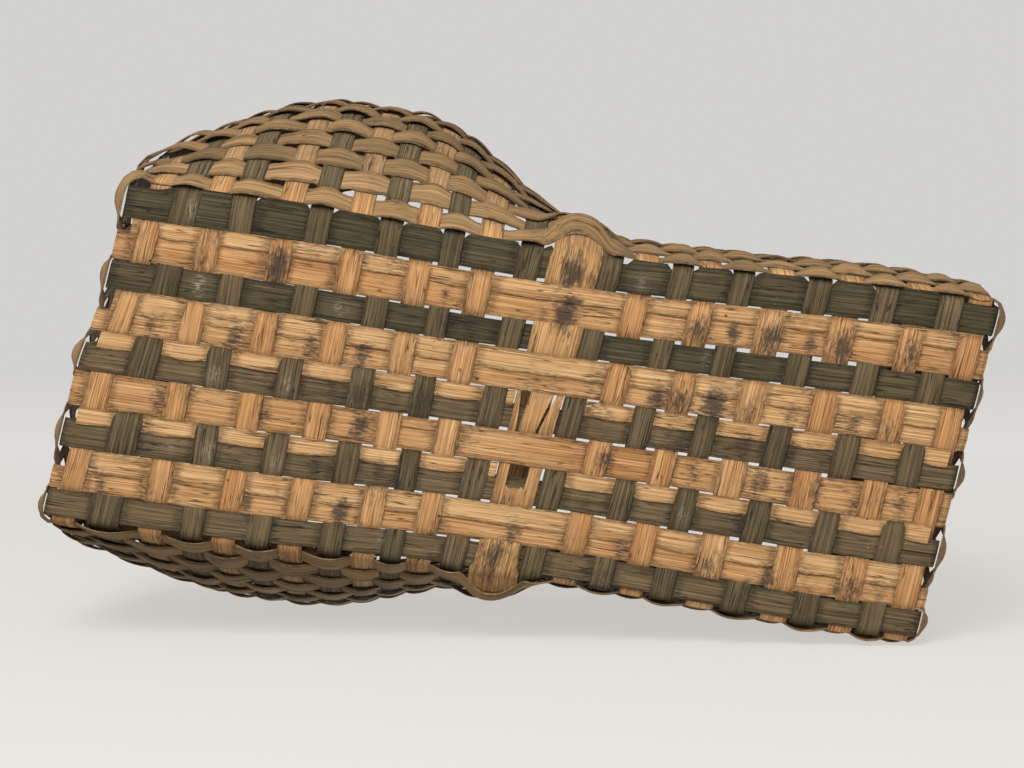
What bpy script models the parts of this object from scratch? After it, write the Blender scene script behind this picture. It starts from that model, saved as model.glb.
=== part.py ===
# Plaited wood-splint basket with a rectangular base, a lopsided belly and a fixed hoop handle.
# The basket stands upright on its base. X runs along its length, Y across it and Z out of the mouth.
# Every piece is laid out on a straight loom, a plain box shape, and then settled into the basket's own
# skewed, pinched and bellied shape by one function, so that pieces that clear each other still do.

import math

import bmesh
import bpy
from mathutils import Vector

# Splint stock
SPLINT = 0.0010
HOOP_STOCK = 0.0014
CLEARANCE = 0.0003
ROW_STATIONS = 9

# Crosswise stakes, counted from the left end
STAKE_WIDTH = 0.0125
STAKE_TIP_WIDTH = 0.0090
STAKE_GAP = 0.0040
HANDLE_WIDTH = 0.0240
HANDLE_GRIP_WIDTH = 0.0220
HANDLE_STAKE = 13
STAKE_COUNT = 25
TURN_STAKES = (9, 13)
STRAIGHT_FROM_STAKE = 17

# Gaps before, between and after the stakes, as shares of STAKE_GAP, along the two long edges of the base
NEAR_GAP_SHARES = (
    1.9, 0.9, 0.9, 0.3, 2.5, 0.8, 1.6, 0.9, 1.2, 0.3, 1.3, 2.2, 1.0,
    0.4, 0.5, 1.4, 0.3, 1.0, 1.5, 1.6, 0.9, 1.1, 1.1, 0.7, 0.3, 0.2,
)
FAR_GAP_SHARES = (
    0.3, 1.8, 2.9, 1.9, 1.0, 1.0, 1.1, 1.7, 1.1, 0.3, 0.4, 1.0, 0.7,
    0.4, 0.8, 1.1, 1.0, 0.5, 1.7, 1.0, 2.2, 0.3, 1.7, 0.3, 0.4, 0.2,
)

# Lengthwise base splints, from the near edge: kind, width, width of the filler beside it, gap before it
FIRST_DARK_WIDTH = 0.0150
DARK_WIDTH = 0.0120
BROAD_WIDTH = 0.0130
HALF_WIDTH = 0.0095
SINGLE_WIDTH = 0.0155
NARROW_FILLER = 0.0060
BROAD_FILLER = 0.0092
ROW_GAP = 0.0024
FIRST_ROW_GAP = 0.0016
ROWS = (
    ("dark", FIRST_DARK_WIDTH, 0.0, 0.0),
    ("tan", BROAD_WIDTH, NARROW_FILLER, FIRST_ROW_GAP),
    ("dark", DARK_WIDTH, 0.0, ROW_GAP),
    ("tan", HALF_WIDTH, BROAD_FILLER, ROW_GAP),
    ("dark", DARK_WIDTH, NARROW_FILLER, ROW_GAP),
    ("tan", SINGLE_WIDTH, 0.0, ROW_GAP),
    ("dark", DARK_WIDTH, NARROW_FILLER, ROW_GAP),
    ("tan", HALF_WIDTH, BROAD_FILLER, ROW_GAP),
    ("dark", DARK_WIDTH, 0.0, ROW_GAP),
)
SHOULDER_SHARE = 0.15
SPLINT_TIP_SHARE = 0.60
FILLER_REACH_SHARE = 0.985

# Walls and weavers
WALL_HEIGHT = 0.165
FOLD_RADIUS = 0.0030
WALL_START = 0.0045
WEAVER_WIDTH = 0.0093
WEAVER_PITCH = 0.0105
WEAVER_EASE = 0.0009
BELOW_CREST_SHARES = (0.22, 0.45, 0.7, 1.0)
ABOVE_CREST_SHARES = (0.5, 1.0)

# Rim and handle
RIM_DEPTH = 0.0120
RIM_HOOP = 0.0016
LASHING_WIDTH = 0.0018
LASHING = 0.0008
LASHING_EASE = 0.0005
ARCH_RISE = 0.095
ARCH_STEPS = 14

# Settled shape
SKEW_SHARE = 0.098
PINCH_DEPTH = 0.0050
PINCH_FROM_SHARE = 0.12
PINCH_TO_SHARE = 0.95
END_LEAN = 0.006
END_SINK = 0.024
SINK_FROM_SHARE = 0.40
LEAN_SPAN_SHARE = 0.95
CORNER_ROUNDING_SHARE = 0.20
BELLY_HEIGHT = 0.100
NEAR_BELLY = 0.056
FAR_BELLY = 0.038
NEAR_CORNER_BELLY = 0.017
FAR_CORNER_BELLY = 0.020
SIDE_BOW = 0.003
BOW_HEIGHT = 0.045
NEAR_BOW = 0.0075
NEAR_BOW_POWER = 0.5
RIGHT_BOW = 0.0035
RIGHT_BOW_SHARES = (0.75, 0.90)
CORNER_PULL = 0.005
PULL_ACROSS_SHARES = (-0.20, 0.45)
PULL_ALONG_SHARES = (0.75, 1.0)
BELLY_CREST_SHARES = (0.23, 0.30)
BELLY_WAIST_SHARE = 0.57
RIM_BELLY = 0.022
RIM_BELLY_SPAN_SHARE = 0.62

# Levels, from the resting face of the handle hoop upwards
ROW_LEVEL = HOOP_STOCK + CLEARANCE + SPLINT / 2
RIM_FOOT = WALL_HEIGHT - RIM_DEPTH
UPRIGHT_TOP = WALL_HEIGHT - CLEARANCE
WEAVER_TOP = RIM_FOOT - LASHING_EASE - LASHING - CLEARANCE
WEAVER_COUNT = int((WEAVER_TOP - WALL_START - WEAVER_WIDTH) / WEAVER_PITCH) + 1

# Reaches outwards from the middle of the uprights
HOOP_FACE = HOOP_STOCK / 2 + 2 * CLEARANCE
WEAVER_FACE = HOOP_STOCK / 2 + WEAVER_EASE

TAN = (0.56, 0.31, 0.12, 1.0)
DARK = (0.070, 0.066, 0.045, 1.0)
WEATHERED = (0.38, 0.26, 0.14, 1.0)
BENT_WOOD = (0.50, 0.28, 0.12, 1.0)
DRY_ROUGHNESS = 0.7


def stake_width(number):
    return HANDLE_WIDTH if number == HANDLE_STAKE else STAKE_WIDTH


def tip_width(number):
    return HANDLE_GRIP_WIDTH if number == HANDLE_STAKE else STAKE_TIP_WIDTH


def stake_places(gap_shares):
    """Centres of the stakes along one long edge, measured from the left end, and the edge's length."""
    places = []
    reach = 0.0
    for number in range(1, STAKE_COUNT + 1):
        reach += gap_shares[number - 1] * STAKE_GAP
        places.append(reach + stake_width(number) / 2)
        reach += stake_width(number)
    return places, reach + gap_shares[STAKE_COUNT] * STAKE_GAP


def row_places():
    """Lower and upper edge of each row of the base, with its splint and filler bands, and the whole width."""
    rows = []
    reach = 0.0
    for kind, width, filler, gap in ROWS:
        reach += gap
        start = reach
        filler_band = None
        if filler:
            filler_band = (reach, reach + filler)
            reach += filler + CLEARANCE
        rows.append({"kind": kind, "start": start, "filler": filler_band, "splint": (reach, reach + width)})
        reach += width
        rows[-1]["end"] = reach
    return rows, reach


NEAR_PLACES, BASE_LENGTH = stake_places(NEAR_GAP_SHARES)
FAR_PLACES, FAR_LENGTH = stake_places(FAR_GAP_SHARES)
ROW_BANDS, BASE_WIDTH = row_places()
HALF_BASE = Vector((BASE_LENGTH / 2, BASE_WIDTH / 2))
HALF_WALL = Vector((HALF_BASE.x + FOLD_RADIUS, HALF_BASE.y + FOLD_RADIUS))


def smooth(low, high, value):
    share = min(max((value - low) / (high - low), 0.0), 1.0)
    return share * share * (3 - 2 * share)


def low_bow(share, side):
    """How far a long wall bows out low down, for a share of the length from the left end."""
    reach = min(max(share, 0.0), 1.0)
    arc = math.sin(math.pi * reach)
    if side > 0:
        return SIDE_BOW * arc
    return NEAR_BOW * arc ** NEAR_BOW_POWER + RIGHT_BOW * smooth(*RIGHT_BOW_SHARES, reach)


def swelling(share, side, bow):
    """How much further a long wall stands out at the crest of the belly."""
    rise, fall = BELLY_CREST_SHARES
    corner, full = (NEAR_CORNER_BELLY, NEAR_BELLY) if side < 0 else (FAR_CORNER_BELLY, FAR_BELLY)
    risen = math.sin(math.pi / 2 * min(max(share / rise, 0.0), 1.0))
    fallen = min(max((share - fall) / (BELLY_WAIST_SHARE - fall), 0.0), 1.0)
    down = (1 + math.cos(math.pi * fallen)) / 2
    return (full - bow) * (corner / full + (1 - corner / full) * risen) * down


def crested(height, crest):
    """Share of a bulge that a wall has at a height. It is full at its crest and gone under the rim."""
    if height <= crest:
        return math.sin(math.pi / 2 * max(height - WALL_START, 0.0) / (crest - WALL_START))
    return math.cos(math.pi / 2 * min((height - crest) / (WEAVER_TOP - crest), 1.0))


def belly(share, side, height):
    """How far a long wall stands out. The stiff rim takes a gentler curve than the splints below it."""
    bow = low_bow(share, side)
    out = bow * crested(height, BOW_HEIGHT) + swelling(share, side, bow) * crested(height, BELLY_HEIGHT)
    if height <= BELLY_HEIGHT:
        return out
    rim_swell = math.sin(math.pi * min(max(share, 0.0) / RIM_BELLY_SPAN_SHARE, 1.0)) ** 2
    rim = SIDE_BOW + (RIM_BELLY - SIDE_BOW) * rim_swell
    return out + rim * (1 - crested(height, BELLY_HEIGHT))


def climbed(height):
    """Share of the way up the wall, from the fold at the base to the top of the weavers."""
    return min(max(height - WALL_START, 0.0) / (WEAVER_TOP - WALL_START), 1.0)


def lean(height, along):
    """How far the wall leans in towards the middle, for a height and a share of the half length."""
    climb = climbed(height)
    sunk = max(climb - SINK_FROM_SHARE, 0.0) / (1 - SINK_FROM_SHARE)
    return (END_LEAN * climb + END_SINK * sunk ** 2) * smooth(0.0, LEAN_SPAN_SHARE, along)


def settle(point):
    """Move a point of the straight loom to its place in the settled basket."""
    side = -1 if point.y < 0 else 1
    share = point.x / BASE_LENGTH + 0.5
    climb = climbed(point.z)
    along = min(abs(point.x) / HALF_WALL.x, 1.0)
    across = min(abs(point.y) / HALF_WALL.y, 1.0)
    rounding = CORNER_ROUNDING_SHARE * climb
    x = point.x * math.sqrt(1 - rounding * across ** 2 / 2) - math.copysign(lean(point.z, along), point.x)
    pull = CORNER_PULL * (1 - climb) * smooth(*PULL_ACROSS_SHARES, -point.y / HALF_WALL.y)
    x += pull * smooth(*PULL_ALONG_SHARES, -point.x / HALF_WALL.x)
    y = point.y * math.sqrt(1 - rounding * along ** 2 / 2)
    pinch = math.sin(math.pi * smooth(PINCH_FROM_SHARE, PINCH_TO_SHARE, share)) * PINCH_DEPTH
    y *= 1 - pinch / HALF_WALL.y
    y += side * across ** 2 * belly(share, side, point.z)
    return Vector((x - SKEW_SHARE * point.y, y, point.z))


def section(centre, across, through):
    """Four corners of a splint's cross-section, from its centre, half width and half thickness."""
    low = centre - through
    high = centre + through
    return [low - across, low + across, high + across, high - across]


def material(name, colour):
    paint = bpy.data.materials.new(name)
    paint.use_nodes = True
    shader = paint.node_tree.nodes["Principled BSDF"]
    shader.inputs["Base Color"].default_value = colour
    shader.inputs["Roughness"].default_value = DRY_ROUGHNESS
    return paint


def add_splint(name, sections, paint, closed=False):
    """Loft one closed splint through its sections and settle it."""
    mesh = bpy.data.meshes.new(name)
    shape = bmesh.new()
    rings = [[shape.verts.new(settle(corner)) for corner in corners] for corners in sections]
    pairs = list(zip(rings, rings[1:]))
    if closed:
        pairs.append((rings[-1], rings[0]))
    for one, two in pairs:
        for side in range(4):
            after = (side + 1) % 4
            shape.faces.new((one[side], one[after], two[after], two[side]))
    if not closed:
        shape.faces.new(rings[0][::-1])
        shape.faces.new(rings[-1])
    bmesh.ops.recalc_face_normals(shape, faces=shape.faces)
    shape.to_mesh(mesh)
    shape.free()
    mesh.materials.append(paint)
    piece = bpy.data.objects.new(name, mesh)
    bpy.context.collection.objects.link(piece)
    return piece


def wall_levels(low, high):
    """Levels at which an upright bends, up to the top of the weavers and then its own top."""
    below = [low + (BELLY_HEIGHT - low) * share for share in BELOW_CREST_SHARES]
    above = [BELLY_HEIGHT + (WEAVER_TOP - BELLY_HEIGHT) * share for share in ABOVE_CREST_SHARES]
    return below + above + [high]


def turned_up(start_level, top, stock):
    """Fold and wall of an upright as (outward reach past the base edge, height, outward, up) steps."""
    steps = []
    for turn in (math.pi / 4, math.pi / 2):
        reach = FOLD_RADIUS * math.sin(turn)
        level = start_level + FOLD_RADIUS * (1 - math.cos(turn))
        steps.append((reach, level, math.sin(turn) * stock / 2, -math.cos(turn) * stock / 2))
    for level in wall_levels(start_level + FOLD_RADIUS, top):
        steps.append((FOLD_RADIUS, level, stock / 2, 0.0))
    return steps


def tapered(width, tip, level):
    return width + (tip - width) * climbed(level)


def row_sections(middle, width, reach):
    """The flat run of a lengthwise splint across the base."""
    across = Vector((0, width / 2, 0))
    through = Vector((0, 0, -SPLINT / 2))
    places = [reach * (2 * station / (ROW_STATIONS - 1) - 1) for station in range(ROW_STATIONS)]
    return [section(Vector((x, middle, ROW_LEVEL)), across, through) for x in places]


def base_splint_sections(band):
    """A lengthwise splint: up the left end, across the base and up the right end."""
    middle = (band[0] + band[1]) / 2 - HALF_BASE.y
    width = band[1] - band[0]
    tip = width * SPLINT_TIP_SHARE
    steps = turned_up(ROW_LEVEL, UPRIGHT_TOP, SPLINT)
    ends = {-1: [], 1: []}
    for side in (-1, 1):
        for reach, level, outward, up in steps:
            centre = Vector((side * (HALF_BASE.x + reach), middle, level))
            across = Vector((0, tapered(width, tip, level) / 2, 0))
            ends[side].append(section(centre, across, Vector((side * outward, 0, up))))
    return ends[-1][::-1] + row_sections(middle, width, HALF_BASE.x) + ends[1]


def filler_sections(band):
    """A narrow splint laid beside a row, which stops short of the walls."""
    middle = (band[0] + band[1]) / 2 - HALF_BASE.y
    return row_sections(middle, band[1] - band[0], HALF_BASE.x * FILLER_REACH_SHARE)


def passes_outside(number, row):
    """True where a stake lies on the outside of a base row. Both are counted from 1."""
    outside_odd_rows = number % 2 == 0 or number == HANDLE_STAKE
    return outside_odd_rows == (row % 2 == 1)


def stake_x(number, y):
    """Place along the length of a stake that runs straight from the near edge to the far edge."""
    share = min(max(y / BASE_WIDTH + 0.5, 0.0), 1.0)
    near = NEAR_PLACES[number - 1]
    far = FAR_PLACES[number - 1] * BASE_LENGTH / FAR_LENGTH
    return near + (far - near) * share - HALF_BASE.x


def woven_steps(number, stock):
    """Knees of a stake across the base as (y, level) pairs, bent between rows and flat across them."""
    lift = SPLINT / 2 + CLEARANCE + stock / 2
    steps = []
    for row, band in enumerate(ROW_BANDS, start=1):
        level = ROW_LEVEL - lift if passes_outside(number, row) else ROW_LEVEL + lift
        low = band["start"]
        high = band["end"]
        if row > 1:
            low -= SHOULDER_SHARE * (band["start"] - ROW_BANDS[row - 2]["end"])
        if row < len(ROW_BANDS):
            high += SHOULDER_SHARE * (ROW_BANDS[row]["start"] - band["end"])
        steps.append((low - HALF_BASE.y, level))
        steps.append((high - HALF_BASE.y, level))
    return steps


def upright_sections(number, side, level, top, width, tip, stock):
    sections = []
    for reach, height, outward, up in turned_up(level, top, stock):
        y = side * (HALF_BASE.y + reach)
        centre = Vector((stake_x(number, y), y, height))
        across = Vector((tapered(width, tip, height) / 2, 0, 0))
        sections.append(section(centre, across, Vector((0, side * outward, up))))
    return sections


def crossing_sections(number, steps, width, stock):
    across = Vector((width / 2, 0, 0))
    through = Vector((0, 0, -stock / 2))
    return [section(Vector((stake_x(number, y), y, level)), across, through) for y, level in steps]


def stake_sections(number):
    """A crosswise stake: up the near wall, woven across the base and up the far wall."""
    steps = woven_steps(number, SPLINT)
    level = steps[0][1]
    shape = (level, UPRIGHT_TOP, STAKE_WIDTH, STAKE_TIP_WIDTH, SPLINT)
    near = upright_sections(number, -1, *shape)
    far = upright_sections(number, 1, *shape)
    return near[::-1] + crossing_sections(number, steps, STAKE_WIDTH, SPLINT) + far


def handle_sections():
    """The handle hoop, from its hidden joint over row 6 round the basket and back to that joint."""
    steps = woven_steps(HANDLE_STAKE, HOOP_STOCK)
    level = steps[0][1]
    joint = len(ROWS) // 2 + 1
    joint_y = sum(steps[2 * joint + side][0] for side in (0, 1)) / 2
    joint_level = steps[2 * joint][1]
    start = [(joint_y + CLEARANCE / 2, joint_level)] + steps[2 * joint + 1:]
    finish = steps[:2 * joint + 1] + [(joint_y - CLEARANCE / 2, joint_level)]
    shape = (level, WALL_HEIGHT, HANDLE_WIDTH, HANDLE_GRIP_WIDTH, HOOP_STOCK)
    far = upright_sections(HANDLE_STAKE, 1, *shape)
    near = upright_sections(HANDLE_STAKE, -1, *shape)
    across = Vector((HANDLE_GRIP_WIDTH / 2, 0, 0))
    arch = []
    for step in range(1, ARCH_STEPS):
        turn = math.pi * step / ARCH_STEPS
        y = HALF_WALL.y * math.cos(turn)
        centre = Vector((stake_x(HANDLE_STAKE, y), y, WALL_HEIGHT + ARCH_RISE * math.sin(turn)))
        outward = Vector((0, math.cos(turn) / HALF_WALL.y, math.sin(turn) / ARCH_RISE)).normalized()
        arch.append(section(centre, across, outward * HOOP_STOCK / 2))
    crossing = crossing_sections(HANDLE_STAKE, start, HANDLE_WIDTH, HOOP_STOCK)
    return_crossing = crossing_sections(HANDLE_STAKE, finish, HANDLE_WIDTH, HOOP_STOCK)
    return crossing + far + arch + near[::-1] + return_crossing


def stations(inset, level=None):
    """Places round the wall as (point, outward) on the loom, in the gaps between uprights."""
    near = side_places(-1, level)
    far = side_places(1, level)
    middles = [(one["end"] + two["start"]) / 2 - HALF_BASE.y for one, two in zip(ROW_BANDS, ROW_BANDS[1:])]
    end_y = [-HALF_WALL.y + inset] + middles + [HALF_WALL.y - inset]
    side_x = HALF_WALL.x - inset
    places = [(Vector((x, -HALF_WALL.y, 0)), Vector((0, -1, 0))) for x in [-side_x] + near + [side_x]]
    places += [(Vector((HALF_WALL.x, y, 0)), Vector((1, 0, 0))) for y in end_y]
    places += [(Vector((x, HALF_WALL.y, 0)), Vector((0, 1, 0))) for x in [side_x] + far[::-1] + [-side_x]]
    places += [(Vector((-HALF_WALL.x, y, 0)), Vector((-1, 0, 0))) for y in end_y[::-1]]
    return places


def side_places(side, level):
    """Where a band bends along one long wall: in every gap for the rim, and for a weaver at a level in
    fewer gaps where the wall is straight and beside each upright where it turns."""
    y = side * HALF_BASE.y
    places = []
    for number in range(1, STAKE_COUNT):
        low = stake_x(number, y) + tip_width(number) / 2
        high = stake_x(number + 1, y) - tip_width(number + 1) / 2
        beside = level is not None and TURN_STAKES[0] <= number <= TURN_STAKES[1]
        if beside:
            reach = tapered(stake_width(number), tip_width(number), level) / 2
            places += [stake_x(number, y) - reach, stake_x(number, y) + reach]
        elif level is None or number < STRAIGHT_FROM_STAKE or number % 3 == 0:
            places.append((low + high) / 2)
    return places


def band_sections(places, low, high, inner, outer):
    """A closed band round the wall, between two heights and two outward reaches from the uprights' middle."""
    sections = []
    for point, outward in places:
        centre = point + outward * (inner + outer) / 2 + Vector((0, 0, (low + high) / 2))
        sections.append(section(centre, Vector((0, 0, (high - low) / 2)), outward * (outer - inner) / 2))
    return sections


def lashing_sections(places):
    """A splint wound round both rim hoops: under them in one gap, over them in the next."""
    reach = HOOP_FACE + RIM_HOOP + LASHING_EASE + LASHING / 2
    low = RIM_FOOT - LASHING_EASE - LASHING / 2
    high = WALL_HEIGHT + LASHING_EASE + LASHING / 2
    up = Vector((0, 0, 1))
    sections = []
    for index, (point, outward) in enumerate(places):
        along = Vector((-outward.y, outward.x, 0)) * LASHING_WIDTH / 2
        under = index % 2 == 1
        level = low if under else high
        rise = -up if under else up
        for face in ((1, -1) if under else (-1, 1)):
            centre = point + outward * reach * face + up * level
            sections.append(section(centre, along, (outward * face + rise) * LASHING / 2))
    return sections


def build():
    for old in list(bpy.data.objects):
        bpy.data.objects.remove(old)
    paints = {"tan": TAN, "dark": DARK}
    for number, band in enumerate(ROW_BANDS, start=1):
        name = f"base_splint_{number}"
        add_splint(name, base_splint_sections(band["splint"]), material(name, paints[band["kind"]]))
        if band["filler"]:
            name = f"filler_splint_{number}"
            add_splint(name, filler_sections(band["filler"]), material(name, TAN))
    for number in range(1, STAKE_COUNT + 1):
        if number != HANDLE_STAKE:
            name = f"stake_{number:02d}"
            colour = DARK if passes_outside(number, 1) else TAN
            add_splint(name, stake_sections(number), material(name, colour))
    add_splint("handle_hoop", handle_sections(), material("handle_hoop", BENT_WOOD))
    for number in range(1, WEAVER_COUNT + 1):
        low = WALL_START + (number - 1) * WEAVER_PITCH
        places = stations(FOLD_RADIUS, low + WEAVER_WIDTH / 2)
        bands = band_sections(places, low, low + WEAVER_WIDTH, WEAVER_FACE, WEAVER_FACE + SPLINT)
        name = f"weaver_{number:02d}"
        add_splint(name, bands, material(name, WEATHERED), closed=True)
    places = stations(HOOP_FACE + RIM_HOOP + CLEARANCE)
    for name, side in (("rim_inner_hoop", -1), ("rim_outer_hoop", 1)):
        reach = sorted((side * HOOP_FACE, side * (HOOP_FACE + RIM_HOOP)))
        bands = band_sections(places, RIM_FOOT, WALL_HEIGHT, *reach)
        add_splint(name, bands, material(name, BENT_WOOD), closed=True)
    gaps = stations(HOOP_FACE + RIM_HOOP + LASHING_WIDTH / 2 + CLEARANCE)
    add_splint("rim_lashing", lashing_sections(gaps), material("rim_lashing", WEATHERED), closed=True)


build()
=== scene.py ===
import math
from bisect import bisect_right

import bpy
import numpy as np
from mathutils import Matrix, Vector, noise


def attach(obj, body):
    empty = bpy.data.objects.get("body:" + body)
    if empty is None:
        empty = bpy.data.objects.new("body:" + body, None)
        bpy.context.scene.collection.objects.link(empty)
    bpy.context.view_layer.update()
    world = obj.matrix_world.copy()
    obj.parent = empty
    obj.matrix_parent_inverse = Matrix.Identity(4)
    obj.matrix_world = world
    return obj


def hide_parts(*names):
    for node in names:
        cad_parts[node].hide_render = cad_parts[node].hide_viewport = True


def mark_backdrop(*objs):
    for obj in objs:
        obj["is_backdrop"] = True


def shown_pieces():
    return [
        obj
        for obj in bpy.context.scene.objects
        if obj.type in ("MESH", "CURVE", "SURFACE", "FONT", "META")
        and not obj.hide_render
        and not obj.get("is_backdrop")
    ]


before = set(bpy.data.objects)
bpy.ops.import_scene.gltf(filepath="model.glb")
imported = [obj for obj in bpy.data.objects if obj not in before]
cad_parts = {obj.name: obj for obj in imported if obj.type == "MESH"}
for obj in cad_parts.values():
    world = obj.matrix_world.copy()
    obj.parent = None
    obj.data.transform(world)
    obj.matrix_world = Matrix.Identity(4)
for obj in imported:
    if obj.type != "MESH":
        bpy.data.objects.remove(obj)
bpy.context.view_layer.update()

# Lengthwise base splints. Nine flat runs of split wood, every second one dyed dark, cross the base side by
# side, turn up at both ends and stand as the uprights of the end walls. Everything is laid out on a straight
# loom and then settled into the skewed, pinched and bellied shape that the old basket has sagged into.

SPLINT = 0.0010
HOOP_STOCK = 0.0014
CLEARANCE = 0.0003
STAKE_WIDTH = 0.0125
STAKE_GAP = 0.0040
HANDLE_WIDTH = 0.0240
HANDLE_STAKE = 13
STAKE_COUNT = 25
NEAR_GAP_SHARES = (
    1.9, 0.9, 0.9, 0.3, 2.5, 0.8, 1.6, 0.9, 1.2, 0.3, 1.3, 2.2, 1.0,
    0.4, 0.5, 1.4, 0.3, 1.0, 1.5, 1.6, 0.9, 1.1, 1.1, 0.7, 0.3, 0.2,
)
FAR_GAP_SHARES = (
    0.3, 1.8, 2.9, 1.9, 1.0, 1.0, 1.1, 1.7, 1.1, 0.3, 0.4, 1.0, 0.7,
    0.4, 0.8, 1.1, 1.0, 0.5, 1.7, 1.0, 2.2, 0.3, 1.7, 0.3, 0.4, 0.2,
)
# Rows of the base from the near edge: splint width, width of the filler beside it, gap before it
ROWS = (
    (0.0150, 0.0, 0.0), (0.0130, 0.0060, 0.0016), (0.0120, 0.0, 0.0024),
    (0.0095, 0.0092, 0.0024), (0.0120, 0.0060, 0.0024), (0.0155, 0.0, 0.0024),
    (0.0120, 0.0060, 0.0024), (0.0095, 0.0092, 0.0024), (0.0120, 0.0, 0.0024),
)
ROW_TIP_SHARE = 0.60
WALL_HEIGHT = 0.165
FOLD_RADIUS = 0.0030
WALL_START = 0.0045
WEAVER_WIDTH = 0.0093
WEAVER_PITCH = 0.0105
WEAVER_COUNT = 14
WEAVER_TOP = 0.1514
UPRIGHT_TOP = WALL_HEIGHT - CLEARANCE
LEVEL = HOOP_STOCK + CLEARANCE + SPLINT / 2
SKEW_SHARE = 0.098
PINCH_DEPTH = 0.0050
PINCH_SHARES = (0.12, 0.95)
END_LEAN = 0.006
END_SINK = 0.024
SINK_FROM_SHARE = 0.40
LEAN_SPAN_SHARE = 0.95
CORNER_ROUNDING_SHARE = 0.20
BELLY_HEIGHT = 0.100
NEAR_BELLY = (0.017, 0.056)
FAR_BELLY = (0.020, 0.038)
SIDE_BOW = 0.003
FAR_WAIST_BOW = 0.005
FAR_WAIST_SHARE = 0.46
FAR_WAIST_SPAN_SHARE = 0.11
NEAR_BULGE = 0.011
FAR_BULGE = 0.009
BULGE_SPAN_SHARE = 0.040
BULGE_RISE = (0.0, 0.012)
BULGE_FALL = (0.014, 0.055)
BOW_HEIGHT = 0.045
NEAR_BOW = 0.0075
NEAR_BOW_POWER = 0.5
RIGHT_BOW = 0.0035
RIGHT_BOW_SHARES = (0.75, 0.90)
CORNER_PULL = 0.005
PULL_ACROSS_SHARES = (-0.20, 0.45)
PULL_ALONG_SHARES = (0.75, 1.0)
BELLY_CREST_SHARES = (0.23, 0.30)
BELLY_WAIST_SHARE = 0.57
RIM_BELLY = 0.022
RIM_BELLY_SPAN_SHARE = 0.62


def stake_width(number):
    return HANDLE_WIDTH if number == HANDLE_STAKE else STAKE_WIDTH


def stake_places(gap_shares):
    """Centres of the stakes along one long edge, from the left end, and that edge's length."""
    places = []
    reach = 0.0
    for number in range(1, STAKE_COUNT + 1):
        reach += gap_shares[number - 1] * STAKE_GAP
        places.append(reach + stake_width(number) / 2)
        reach += stake_width(number)
    return places, reach + gap_shares[STAKE_COUNT] * STAKE_GAP


near_places, base_length = stake_places(NEAR_GAP_SHARES)
far_places, far_length = stake_places(FAR_GAP_SHARES)
near_hoop_share = near_places[HANDLE_STAKE - 1] / base_length
far_hoop_share = far_places[HANDLE_STAKE - 1] / far_length
rows = []
row_reach = 0.0
for splint_width, filler_width, gap in ROWS:
    row_reach += gap
    row = {"start": row_reach, "filler": None}
    if filler_width:
        row["filler"] = (row_reach, row_reach + filler_width)
        row_reach += filler_width + CLEARANCE
    row["splint"] = (row_reach, row_reach + splint_width)
    row_reach += splint_width
    row["end"] = row_reach
    rows.append(row)
base_width = row_reach
half_x = base_length / 2
half_y = base_width / 2
wall_x = half_x + FOLD_RADIUS
wall_y = half_y + FOLD_RADIUS


def smooth(low, high, value):
    share = min(max((value - low) / (high - low), 0.0), 1.0)
    return share * share * (3 - 2 * share)


def climbed(height):
    """Share of the wall's climb at a height, from its foot to the top weaver."""
    return min(max(height - WALL_START, 0.0) / (WEAVER_TOP - WALL_START), 1.0)


def crested(height, crest):
    """Share of a bulge that a wall has at a height. It is full at its crest and gone under the rim."""
    if height <= crest:
        return math.sin(math.pi / 2 * max(height - WALL_START, 0.0) / (crest - WALL_START))
    return math.cos(math.pi / 2 * min((height - crest) / (WEAVER_TOP - crest), 1.0))


def belly(share, side, height):
    """How far a long wall stands out, for a share of the length from the left end and a height."""
    corner, full = NEAR_BELLY if side < 0 else FAR_BELLY
    rise, fall = BELLY_CREST_SHARES
    share = max(share, 0.0)
    arc = math.sin(math.pi * min(share, 1.0))
    bow = SIDE_BOW * arc + FAR_WAIST_BOW * math.exp(-((share - FAR_WAIST_SHARE) / FAR_WAIST_SPAN_SHARE) ** 2)
    if side < 0:
        bow = NEAR_BOW * arc ** NEAR_BOW_POWER + RIGHT_BOW * smooth(*RIGHT_BOW_SHARES, share)
    risen = math.sin(math.pi / 2 * min(share / rise, 1.0))
    fallen = min(max((share - fall) / (BELLY_WAIST_SHARE - fall), 0.0), 1.0)
    swell = (full - bow) * (corner / full + (1 - corner / full) * risen) * (1 + math.cos(math.pi * fallen)) / 2
    out = bow * crested(height, BOW_HEIGHT) + swell * crested(height, BELLY_HEIGHT)
    bulge, hoop_share = (NEAR_BULGE, near_hoop_share) if side < 0 else (FAR_BULGE, far_hoop_share)
    bulge *= math.exp(-((share - hoop_share) / BULGE_SPAN_SHARE) ** 4)
    out += bulge * smooth(*BULGE_RISE, height) * (1 - smooth(*BULGE_FALL, height))
    if height <= BELLY_HEIGHT:
        return out
    rim_swell = math.sin(math.pi * min(share / RIM_BELLY_SPAN_SHARE, 1.0)) ** 2
    rim = SIDE_BOW + (RIM_BELLY - SIDE_BOW) * rim_swell
    return out + rim * (1 - crested(height, BELLY_HEIGHT))


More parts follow.
